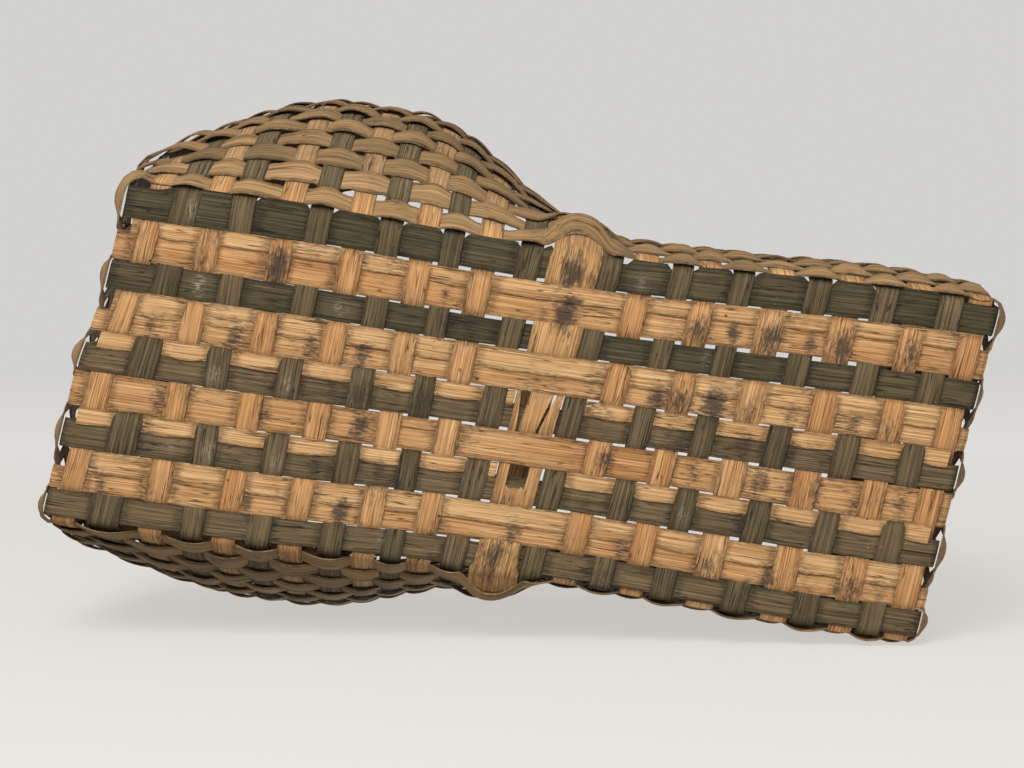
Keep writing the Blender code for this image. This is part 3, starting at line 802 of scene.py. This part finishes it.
HANDLE_GRIP_WIDTH = 0.0220
HOOP_ACROSS = 20
ARCH_RISE = 0.095
splint_paint(
    "bent_wood", (0.70, 0.43, 0.19), (0.56, 0.31, 0.13), (0.42, 0.27, 0.14), (0.50, 0.38, 0.28),
    (0.060, 0.032, 0.016), (0.040, 0.034, 0.028), (0.78, 0.62, 0.42),
    {"fibre": 0.95, "wear": 0.45, "grime_and_shade": 0.50, "crack": 0.90, "soot": 0.88, "fleck": 0.20, "hole": 0.5}, 0.72,
)
hoop_crossings = stake_crossings(HANDLE_STAKE, LEVEL - HOOP_STOCK / 2, 0.0)
rise_reach = distance_to(WALL_HEIGHT, half_y)
arch_length = math.pi * math.sqrt((wall_y ** 2 + ARCH_RISE ** 2) / 2)
joint = (rows[5]["start"] + rows[5]["end"]) / 2 - half_y
rising = stake_place(HANDLE_STAKE, HANDLE_WIDTH, HANDLE_GRIP_WIDTH, hoop_crossings, 53, 0.4)
TINE_LINES = (-1.0, -0.7, -0.6, 0.4, 0.5, 1.0)
TINE_HEADS = (-1.0, -0.84, -0.42, 0.58, 0.70, 1.0)
TINE_FEET = (-1.0, -0.66, -0.56, 0.22, 0.36, 1.0)
tines_from, tines_to = row_middle(4), row_middle(6)
TINE_LENGTH = rows[4]["end"] - rows[4]["start"]
notch_from, notch_to = row_middle(6) + 0.004, rows[6]["start"] - half_y + 0.0105
NOTCH_SHARES = (-0.5, 0.4)
NOTCH_RAGGED = 0.0014
FOOT_BREADTH = 1.07
FOOT_NARROWING = 0.19
FINE_STEP = 0.0008


def hoop_level(distance):
    """Place across the basket of a point of the hoop under the base, whichever end it belongs to."""
    return distance if distance <= rise_reach else distance - 2 * rise_reach - arch_length


def tined(place, share):
    """The share of the hoop's width that a grain line has where the hoop is split into tines."""
    if not tines_from < place < tines_to:
        return share
    down = min(max((place + half_y - rows[4]["start"]) / TINE_LENGTH, 0.0), 1.0)
    moved = [head + (foot - head) * down ** 0.8 for head, foot in zip(TINE_HEADS, TINE_FEET)]
    return float(np.interp(share, TINE_LINES, moved))


def hoop_missing(distance, share):
    place = hoop_level(distance)
    slit = TINE_LINES[1] < share < TINE_LINES[2] or TINE_LINES[3] < share < TINE_LINES[4]
    if tines_from + 0.001 < place < tines_to - 0.004 and slit:
        return True
    ragged = NOTCH_RAGGED * noise.noise(Vector((share * 6, 3.1, 0)))
    return notch_from < place < notch_to + ragged and NOTCH_SHARES[0] < share < NOTCH_SHARES[1]


def hoop_place(distance, share):
    """The hoop's run, from its joint over row 6, up the far wall, over the arch and back down the near wall."""
    if distance <= rise_reach or distance >= rise_reach + arch_length:
        place = hoop_level(distance)
        narrowed = FOOT_BREADTH - FOOT_NARROWING * smooth(-half_y, half_y * 0.5, place)
        return rising(place, tined(place, share) * (narrowed if abs(place) < half_y else 1.0))
    turn = math.pi * (distance - rise_reach) / arch_length
    y = wall_y * math.cos(turn)
    out_y, out_z = Vector((math.cos(turn) / wall_y, math.sin(turn) / ARCH_RISE)).normalized()
    across = share * HANDLE_GRIP_WIDTH / 2
    cupped = -CUP * share * share
    level = WALL_HEIGHT + ARCH_RISE * math.sin(turn)
    return stake_x(HANDLE_STAKE, y) + across, y + out_y * cupped, level + out_z * cupped, across * RUN_SCALE + 4.0


def hoop_tone(distance):
    return 0.35 + 0.2 * drift(distance, 53, 7)


hoop_stations = steps_between(joint + CLEARANCE / 2, joint + 2 * rise_reach + arch_length - CLEARANCE / 2)
for start, end in ((tines_from, tines_to), (notch_from - 0.002, notch_to + 0.004)):
    fine = [start + step * FINE_STEP for step in range(int((end - start) / FINE_STEP))]
    hoop_stations += [place if place > joint else place + 2 * rise_reach + arch_length for place in fine]
lay_splint(
    "handle_hoop", "bent_wood", sorted(hoop_stations), hoop_place, hoop_tone, 53, HOOP_STOCK, HOOP_ACROSS,
    missing=hoop_missing,
)

# Weavers. Fourteen narrow rounds of thin, weathered splint in plain weave, over one upright and behind the
# next. They are loose by now and bow well clear of the uprights that they cover, most of all at the corners.

CORNER_RADIUS = 0.0060
WEAVER_STEP = 0.0025
WEAVER_THIN_SHARE = 0.85
OUT_BOW = 0.0023
FLAT_BOW = 0.0012
IN_BOW = -0.0009
COVER_SHARE = 0.28
FIRST_DROP = 0.0014
FIRST_SPREAD = 0.0009
LEAN_OUT = 0.0015
END_LEAN_OUT = 0.0038
HUG = 0.0007
TIGHTER = 0.00035
FLAT_TO = (0.10, 0.26)
FLAT_ROUNDS = (1.0, 4.0)
LEAN_FROM = (0.18, 0.28)
LEAN_ROUNDS = (2.0, 5.0)
splint_paint(
    "weathered_splint", (0.185, 0.129, 0.062), (0.46, 0.285, 0.132), (0.30, 0.215, 0.118), (0.44, 0.36, 0.28),
    (0.030, 0.020, 0.012), (0.040, 0.031, 0.022), (0.62, 0.49, 0.33),
    {"fibre": 0.90, "wear": 0.0, "grime_and_shade": 0.62, "crack": 0.75, "soot": 0.55, "fleck": 0.15, "hole": 0.5}, 0.70,
)
straight_x = 2 * (wall_x - CORNER_RADIUS)
straight_y = 2 * (wall_y - CORNER_RADIUS)
corner_run = CORNER_RADIUS * math.pi / 2
round_length = 2 * (straight_x + straight_y) + 4 * corner_run


def round_place(distance):
    """A point of the wall and its outward direction, at a distance round it from the near left corner."""
    distance %= round_length
    end, edge = straight_x / 2, straight_y / 2
    for length, facing, corner in (
        (straight_x, -math.pi / 2, (end, -edge)), (straight_y, 0.0, (end, edge)),
        (straight_x, math.pi / 2, (-end, edge)), (straight_y, math.pi, (-end, -edge)),
    ):
        out = Vector((math.cos(facing), math.sin(facing)))
        along = Vector((-out.y, out.x))
        if distance <= length:
            return Vector(corner) - along * (length - distance) + out * CORNER_RADIUS, out
        distance -= length
        if distance <= corner_run:
            turn = facing + distance / CORNER_RADIUS
            out = Vector((math.cos(turn), math.sin(turn)))
            return Vector(corner) + out * CORNER_RADIUS, out
        distance -= corner_run
    return Vector((-end, -edge - CORNER_RADIUS)), Vector((0.0, -1.0))


def uprights_round():
    """Every upright as (distance round the wall, whether it takes weaver 1 outside it)."""
    found = []
    second = straight_x + corner_run
    third = second + straight_y + corner_run
    fourth = third + straight_x + corner_run
    for number in range(1, STAKE_COUNT + 1):
        covered = outside_odd_rows(number)
        found.append((stake_x(number, -half_y) + straight_x / 2, covered))
        found.append((third + straight_x / 2 - stake_x(number, half_y), covered))
    for number in range(1, len(rows) + 1):
        found.append((second + straight_y / 2 + row_middle(number), number % 2 == 1))
        found.append((fourth + straight_y / 2 - row_middle(number), number % 2 == 1))
    return sorted(found)


uprights = uprights_round()
handle_rounds = (
    stake_x(HANDLE_STAKE, -half_y) + straight_x / 2,
    1.5 * straight_x + 2 * corner_run + straight_y - stake_x(HANDLE_STAKE, half_y),
)
HANDLE_SLACK = 1.6
HANDLE_RAISE = 0.005
RAISE_REACH = 0.014
HANDLE_CLEAR_SHARE = 0.62
HANDLE_CLEAR_BOW = 0.0005
END_SLACK = 1.6
LOOSE_CORNER = 0.0055
LOOSE_REACH = 0.030
LOOSE_ROUND = 4.5
LOOSE_ROUNDS = 2.6


def weaver_crossings(number):
    """Offsets of a round at every upright, with the last one before the start and the first after the end."""
    found = []
    for distance, covered in uprights:
        outside = covered == (number % 2 == 1)
        flat = (1 - smooth(*FLAT_TO, distance)) * (1 - smooth(*FLAT_ROUNDS, number - 2))
        bow = OUT_BOW + (FLAT_BOW - OUT_BOW) * flat
        slack = 1 + 0.30 * drift(distance, number + 70, 37)
        if number == 1 and abs(round_place(distance)[1].x) > 0.9:
            slack *= END_SLACK
        if number == 1 and min(abs(distance - place) for place in handle_rounds) < 0.001:
            slack = HANDLE_SLACK
            clear = HANDLE_WIDTH * HANDLE_CLEAR_SHARE
            found += [(distance - clear, HANDLE_CLEAR_BOW), (distance + clear, HANDLE_CLEAR_BOW)]
        found.append((distance, bow * slack if outside else IN_BOW))
    found.sort()
    first, last = found[0], found[-1]
    return [(last[0] - round_length, last[1])] + found + [(first[0] + round_length, first[1])]


weaver_steps = round(round_length / WEAVER_STEP)
weaver_stations = [round_length * step / weaver_steps for step in range(weaver_steps + 1)]
for number in range(1, WEAVER_COUNT + 1):
    crossings = weaver_crossings(number)
    level = weaver_level(number)
    looseness = LOOSE_CORNER * math.exp(-((number - LOOSE_ROUND) / LOOSE_ROUNDS) ** 2)

    def place(distance, share, number=number, crossings=crossings, level=level, looseness=looseness):
        point, out = round_place(distance)
        spot = distance % round_length
        offset = sway(spot, crossings, 0.04)
        from_corner = min(spot, round_length - spot)
        loose = looseness * math.exp(-(from_corner / LOOSE_REACH) ** 2) * (0.6 + 0.4 * drift(distance, number, 31))
        lean = LEAN_OUT * (1 - smooth(*LEAN_ROUNDS, number)) * smooth(*LEAN_FROM, spot) * (1 if out.y < 0.5 else 0)
        if number == 1 and abs(out.x) > 0.5:
            lean = END_LEAN_OUT
        lean = min(lean, max(offset - HUG, 0.0)) - (TIGHTER if offset > 0 else 0.0)
        offset += loose - CUP * share * share + lean * share
        cover = COVER_SHARE * smooth(0.0, FLAT_BOW, offset)
        height = level + share * WEAVER_WIDTH / 2 * (1 + cover + 0.05 * drift(distance, number + 70, 24))
        height += 0.0007 * drift(distance, number + 71, 15) * (0.3 if number == 1 else 1.0)
        if number == 1 and distance < straight_x:
            height -= FIRST_DROP + FIRST_SPREAD * (0.5 - share / 2)
        if number == 1:
            height += HANDLE_RAISE * sum(math.exp(-((spot - place) / RAISE_REACH) ** 4) for place in handle_rounds)
        return point.x + out.x * offset, point.y + out.y * offset, height, share * 0.047 + number * 1.3

    base_tone = 0.52 - 0.02 * number + 0.22 * drift(number, 5, 0.61)

    def weaver_tone(distance, base_tone=base_tone, number=number):
        spot = distance % round_length
        # Painted light: the rounds are made lighter on the end walls, where their loops show at the sides.
        painted_end_light = 0.30 if abs(round_place(spot)[1].x) > 0.5 else 0.0
        return base_tone + painted_end_light + 0.26 * drift(spot, number + 70, 9) + 0.16 * drift(spot, number + 30, 45)

    lay_splint(
        f"weaver_{number:02d}", "weathered_splint", weaver_stations, place, weaver_tone, number + 70,
        SPLINT * WEAVER_THIN_SHARE, 3, True,
    )

# Rim. Two bent hoops clamp the tops of the uprights between them, and one narrow splint is wound round both
# in a long spiral, down through each gap between two uprights and up over the hoops again.

RIM_DEPTH = 0.0120
RIM_HOOP = 0.0016
HOOP_FACE = HOOP_STOCK / 2 + 2 * CLEARANCE
LASHING_WIDTH = 0.0042
LASHING = 0.0008
rim_middle = WALL_HEIGHT - RIM_DEPTH / 2
for name, side in (("rim_inner_hoop", -1), ("rim_outer_hoop", 1)):
    def place(distance, share, side=side):
        point, out = round_place(distance)
        offset = side * (HOOP_FACE + RIM_HOOP / 2)
        height = rim_middle + share * RIM_DEPTH / 2
        return point.x + out.x * offset, point.y + out.y * offset, height, share * 0.06 + side

    def rim_tone(distance, side=side):
        return 0.30 + 0.25 * drift(distance % round_length, side + 90, 7)

    lay_splint(name, "bent_wood", weaver_stations, place, rim_tone, 90 + side, RIM_HOOP, 3, True)

turns = len(uprights) // 2
coil_radius = HOOP_FACE + RIM_HOOP + LASHING / 2 + CLEARANCE
coil_height = RIM_DEPTH / 2 + LASHING / 2 + CLEARANCE
lashing_count = turns * 16
SQUARED = 0.35


def lashing_place(distance, share):
    """The spiral round the rim, a squared loop for each two uprights that it passes."""
    turn = 2 * math.pi * turns * distance / round_length
    point, out = round_place(distance + share * LASHING_WIDTH / 2)
    offset, height = (
        reach * math.copysign(max(abs(swing) ** SQUARED, 0.001), swing)
        for reach, swing in ((coil_radius, math.cos(turn)), (coil_height, math.sin(turn)))
    )
    height += rim_middle
    return point.x + out.x * offset, point.y + out.y * offset, height, share * 0.02


lashing_stations = [round_length * step / lashing_count for step in range(lashing_count + 1)]
lay_splint(
    "rim_lashing", "weathered_splint", lashing_stations, lashing_place,
    lambda distance: 0.55 + 0.2 * drift(distance % round_length, 95, 9), 95, LASHING, 1, True,
)

# Camera. The photograph looks up at the base of the basket as it lies on its side, from a little above and
# square on, through a long lens. The rows of the base slope down to the right by about eight degrees.

CAMERA_LENS = 100.0
CAMERA_DISTANCE = 1.3994
CAMERA_TARGET = Vector((-0.0050, -0.0129, 0.0))
CAMERA_YAW = 0.0090
CAMERA_PITCH = 0.0739
CAMERA_ROLL = 0.1394
towards = Vector((
    math.sin(CAMERA_YAW) * math.cos(CAMERA_PITCH), -math.sin(CAMERA_PITCH),
    -math.cos(CAMERA_YAW) * math.cos(CAMERA_PITCH),
))
view_line = -towards
level_right = view_line.cross(Vector((0, -1, 0))).normalized()
level_up = level_right.cross(view_line)
camera_right = level_right * math.cos(CAMERA_ROLL) + level_up * math.sin(CAMERA_ROLL)
camera_up = level_up * math.cos(CAMERA_ROLL) - level_right * math.sin(CAMERA_ROLL)
camera_data = bpy.data.cameras.new("camera")
camera_data.lens = CAMERA_LENS
camera_data.sensor_width = 36.0
camera_data.clip_end = 60.0
camera = bpy.data.objects.new("camera", camera_data)
bpy.context.scene.collection.objects.link(camera)
eye = CAMERA_TARGET + towards * CAMERA_DISTANCE
camera.matrix_world = Matrix((
    (camera_right.x, camera_up.x, towards.x, eye.x),
    (camera_right.y, camera_up.y, towards.y, eye.y),
    (camera_right.z, camera_up.z, towards.z, eye.z),
    (0, 0, 0, 1),
))
bpy.context.scene.camera = camera

# Room. The basket lies on its far wall on a seamless pale sheet that curves up behind it, under a big soft
# light above the camera. A level floor shows only from above, for when the basket is seen upright.

FLOOR_TILT = math.radians(5.5)
PALE = (0.70, 0.685, 0.65)
FLOOR_TONE = (0.799, 0.776, 0.738)
EVEN_TONE = (0.651, 0.644, 0.631)
EVEN_SHARE = 0.68
floor_normal = (camera_up * math.cos(FLOOR_TILT) + towards * math.sin(FLOOR_TILT)).normalized()
lowest = min(
    floor_normal.dot(vertex.co)
    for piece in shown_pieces() if piece.name.startswith("woven_") for vertex in piece.data.vertices
)


def stage_paint(name, depths=None):
    """Pale matte paper, clear from behind and to every ray but the camera's. The lamps' light on it is
    evened out, and over the two depths its tone goes from the bright floor's to the backdrop's."""
    paint = bpy.data.materials.new(name)
    paint.use_nodes = True
    tree = paint.node_tree
    tree.nodes.clear()
    surface = fed(tree, "BsdfDiffuse", {"Color": PALE}).outputs["BSDF"]
    if depths:
        depth = fed(tree, "VectorMath", {0: fed(tree, "TexCoord", {}).outputs["Object"], 1: depth_line})
        depth.operation = "DOT_PRODUCT"
        back = ranged(tree, depth.outputs["Value"], *depths)
        glow = fed(tree, "Emission", {"Color": blended(tree, back, FLOOR_TONE, EVEN_TONE)}).outputs["Emission"]
        even = ranged(tree, back, 0.0, 0.5, EVEN_SHARE, 1.0)
        surface = fed(tree, "MixShader", {"Fac": even, 1: surface, 2: glow}).outputs["Shader"]
    clear = fed(tree, "BsdfTransparent", {}).outputs["BSDF"]
    shown = math_node(tree, "SUBTRACT", 1.0, fed(tree, "NewGeometry", {}).outputs["Backfacing"])
    shown = times(tree, shown, fed(tree, "LightPath", {}).outputs["Is Camera Ray"])
    surface = fed(tree, "MixShader", {"Fac": shown, 1: clear, 2: surface}).outputs["Shader"]
    fed(tree, "OutputMaterial", {"Surface": surface})
    return paint


depth_line = (view_line - floor_normal * view_line.dot(floor_normal)).normalized()
side_line = depth_line.cross(floor_normal)
FLOOR_REACH = 4.0
SWEEP_START = 1.6
SWEEP_RADIUS = 1.2
SWEEP_STEPS = 16
SHEET_TOP = 5.0
SHEET_WIDTH = 12
SHEET_GAP = 0.0002
FLOOR_GAP = 0.0003
profile = [(-FLOOR_REACH, 0.0), (SWEEP_START, 0.0)]
for step in range(1, SWEEP_STEPS + 1):
    turn = math.pi / 2 * step / SWEEP_STEPS
    profile.append((SWEEP_START + SWEEP_RADIUS * math.sin(turn), SWEEP_RADIUS * (1 - math.cos(turn))))
profile.append((SWEEP_START + SWEEP_RADIUS, SHEET_TOP))
bpy.ops.object.select_all(action="DESELECT")
bpy.ops.mesh.primitive_grid_add(x_subdivisions=len(profile) - 1, y_subdivisions=1, size=1)
sheet = bpy.context.object
sheet.name = "backdrop"
for vertex in sheet.data.vertices:
    depth, height = profile[round((vertex.co.x + 0.5) * (len(profile) - 1))]
    side = vertex.co.y * SHEET_WIDTH
    vertex.co = floor_normal * (lowest - SHEET_GAP + height) + depth_line * depth + side_line * side
sheet.data.materials.append(stage_paint("backdrop paper", (0.30, 1.5)))
bpy.ops.object.shade_smooth()
if sheet.data.polygons[0].normal.dot(floor_normal) < 0:
    sheet.data.flip_normals()
bpy.ops.object.select_all(action="DESELECT")
bpy.ops.mesh.primitive_circle_add(vertices=64, radius=FLOOR_REACH, fill_type="NGON", location=(0, 0, 0))
floor = bpy.context.object
floor.name = "level_floor"
for vertex in floor.data.vertices:
    vertex.co.z = -FLOOR_GAP
floor.data.materials.append(stage_paint("floor paper"))
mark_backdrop(sheet, floor)

world = bpy.data.worlds.new("room")
bpy.context.scene.world = world
world.use_nodes = True
feed(world.node_tree, world.node_tree.nodes["Background"], {"Color": (0.97, 0.985, 1.0), "Strength": 0.42})


def soft_light(name, direction, distance, size, watts):
    """A square studio light that faces the basket from a direction."""
    lamp = bpy.data.lights.new(name, "AREA")
    lamp.size = size
    lamp.energy = watts
    holder = bpy.data.objects.new(name, lamp)
    bpy.context.scene.collection.objects.link(holder)
    direction = direction.normalized()
    facing = direction.to_track_quat("Z", "Y").to_matrix().to_4x4()
    holder.matrix_world = Matrix.Translation(direction * distance) @ facing


soft_light("key", floor_normal * 1.0 + towards * 0.95 - camera_right * 0.35, 2.0, 1.1, 38)
soft_light("front", towards * 1.0 + floor_normal * 0.15 + camera_right * 0.3, 2.6, 1.6, 18)
soft_light("upper", Vector((0.25, 0.35, 0.9)), 2.4, 1.4, 16)
bpy.context.scene.view_settings.view_transform = "Standard"
